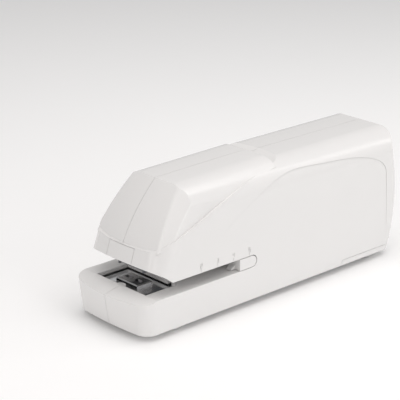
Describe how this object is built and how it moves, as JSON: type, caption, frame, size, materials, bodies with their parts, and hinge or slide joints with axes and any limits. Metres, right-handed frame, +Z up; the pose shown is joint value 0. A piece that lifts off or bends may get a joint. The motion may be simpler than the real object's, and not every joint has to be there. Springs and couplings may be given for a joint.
{
  "type": "electric stapler",
  "caption": "Desktop electric stapler: a white two-part housing with a sloping nose over a paper slot, a pull-out staple magazine, a motor-driven blade and a battery bay.",
  "frame": {"origin": "centre of the footprint at the table, under the four feet", "axes": "+Z up, the nose points to -Y, the rear to +Y; the side with the depth stop's scale faces +X"},
  "size_m": [0.0509, 0.1705, 0.0663],
  "materials": {
    "white_plastic": "glossy warm-white ABS",
    "white_inner": "plain white moulded plastic",
    "clear_rubber": "milky soft foot",
    "zinc_steel": "zinc-plated sheet steel",
    "polished_steel": "polished plate",
    "anvil_steel": "hardened and polished",
    "dark_steel": "hardened dark steel",
    "staple_wire": "galvanised wire",
    "pom_gear": "natural acetal",
    "brass": "turned brass",
    "motor_steel": "plated motor can",
    "black_plastic": "black moulded plastic",
    "wire_red": "insulated lead",
    "board_green": "solder-masked board",
    "board_black": "component bodies",
    "cell_jacket": "shrink-wrapped cell",
    "contact_plate": "nickel-plated contact",
    "grey_plastic": "grey moulded plastic"
  },
  "bodies": {
    "housing": {"anvil": "anvil_steel", "anvil_plate": "polished_steel", "anvil_support": "black_plastic", "arm_pivot_pin": "dark_steel", "base_plate": "zinc_steel", "battery_bay": "white_inner", "battery_cell_1": "cell_jacket", "battery_cell_2": "cell_jacket", "battery_cell_3": "cell_jacket", "battery_cell_4": "cell_jacket", "battery_cell_5": "cell_jacket", "battery_cell_6": "cell_jacket", "bay_contacts": "contact_plate", "board_parts": "board_black", "button_spring": "dark_steel", "carrier_pivot_pins": "dark_steel", "chassis_spacers": "zinc_steel", "circuit_board": "board_green", "dc_jack": "black_plastic", "first_gear_axle": "dark_steel", "front_feet": "clear_rubber", "gearbox_plate": "zinc_steel", "gearbox_posts": "zinc_steel", "housing_screws": "zinc_steel", "left_chassis_plate": "zinc_steel", "left_housing": "white_plastic", "motor_can": "motor_steel", "motor_end_cap": "black_plastic", "motor_leads": "wire_red", "paper_switch": "black_plastic", "right_chassis_plate": "zinc_steel", "right_housing": "white_plastic", "second_gear_axle": "dark_steel", "sensor_bracket": "grey_plastic"},
    "cam_wheel": {"cam_gear": "pom_gear", "cam_shaft": "dark_steel"},
    "second_wheel": {"second_gear": "pom_gear"},
    "first_wheel": {"first_gear": "pom_gear"},
    "rotor": {"motor_pinion": "brass", "motor_shaft": "dark_steel"},
    "arm": {"driver_arm": "zinc_steel", "roller_pin": "dark_steel"},
    "roller": {"arm_roller": "dark_steel"},
    "carrier": {"head_carrier": "dark_steel"},
    "blade": {"driver_blade": "dark_steel"},
    "magazine": {"staple_channel": "dark_steel", "front_panel": "white_plastic", "staple_strip": "staple_wire", "pusher_rod": "dark_steel", "pusher_spring": "dark_steel"},
    "pusher": {"staple_pusher": "black_plastic"},
    "stop": {"depth_stop": "white_plastic"},
    "sensor": {"sensor_lever": "black_plastic"},
    "door": {"battery_door": "white_plastic", "rear_feet": "clear_rubber", "door_contacts": "contact_plate"},
    "button": {"release_button": "white_plastic"}
  },
  "joints": [
    {"name": "cam_turn", "type": "hinge", "parent": "housing", "child": "cam_wheel", "pos_m": [0, 0.0045, 0.0315], "axis": [1, 0, 0], "range_deg": [-180, 0]},
    {"name": "second_gear_turn", "type": "hinge", "parent": "housing", "child": "second_wheel", "pos_m": [0, 0.02485, 0.03582], "axis": [1, 0, 0], "range_deg": [-2, 602]},
    {"name": "first_gear_turn", "type": "hinge", "parent": "housing", "child": "first_wheel", "pos_m": [0, 0.03412, 0.01976], "axis": [1, 0, 0], "range_deg": [-2055, 5]},
    {"name": "motor_turn", "type": "hinge", "parent": "housing", "child": "rotor", "pos_m": [0, 0.02021, 0.01603], "axis": [1, 0, 0], "range_deg": [-10, 6160]},
    {"name": "arm_swing", "type": "hinge", "parent": "housing", "child": "arm", "pos_m": [0, -0.02, 0.0405], "axis": [1, 0, 0], "range_deg": [-0.1, 15.3]},
    {"name": "roller_spin", "type": "hinge", "parent": "arm", "child": "roller", "pos_m": [0, 0.0045, 0.0405], "axis": [1, 0, 0], "continuous": true},
    {"name": "carrier_drop", "type": "hinge", "parent": "housing", "child": "carrier", "pos_m": [0, -0.008, 0.0315], "axis": [1, 0, 0], "range_deg": [-0.1, 4.7]},
    {"name": "blade_stroke", "type": "slide", "parent": "carrier", "child": "blade", "axis": [0, 0, -1], "range_m": [-0.0001, 0.0076]},
    {"name": "magazine_slide", "type": "slide", "parent": "carrier", "child": "magazine", "axis": [0, -1, 0], "range_m": [0, 0.046]},
    {"name": "pusher_slide", "type": "slide", "parent": "magazine", "child": "pusher", "axis": [0, 1, 0], "range_m": [0, 0.01], "stiffness_N_per_m": 60, "springref_m": -0.012, "deforming": ["pusher_spring"]},
    {"name": "depth_stop_slide", "type": "slide", "parent": "housing", "child": "stop", "axis": [0, -1, 0], "range_m": [0, 0.03]},
    {"name": "sensor_tilt", "type": "hinge", "parent": "housing", "child": "sensor", "pos_m": [0, -0.052, 0.013], "axis": [-1, 0, 0], "range_deg": [0, 20], "stiffness_Nm_per_rad": 0.002, "springref_deg": -11.46},
    {"name": "battery_door_slide", "type": "slide", "parent": "housing", "child": "door", "axis": [0, 1, 0], "range_m": [0, 0.042]},
    {"name": "release_button_press", "type": "slide", "parent": "housing", "child": "button", "axis": [1, 0, 0], "range_m": [0, 0.003], "stiffness_N_per_m": 400, "springref_m": -0.002, "deforming": ["button_spring"]}
  ],
  "couplings": [
    {"joint": "second_gear_turn", "follows": "cam_turn", "ratio": -3.3333},
    {"joint": "first_gear_turn", "follows": "cam_turn", "ratio": 11.389},
    {"joint": "motor_turn", "follows": "cam_turn", "ratio": -34.167},
    {"joint": "arm_swing", "follows": "cam_turn", "ratio": -0.084444},
    {"joint": "carrier_drop", "follows": "cam_turn", "ratio": -0.025556},
    {"joint": "blade_stroke", "follows": "cam_turn", "m_per_rad": -0.0023873}
  ]
}
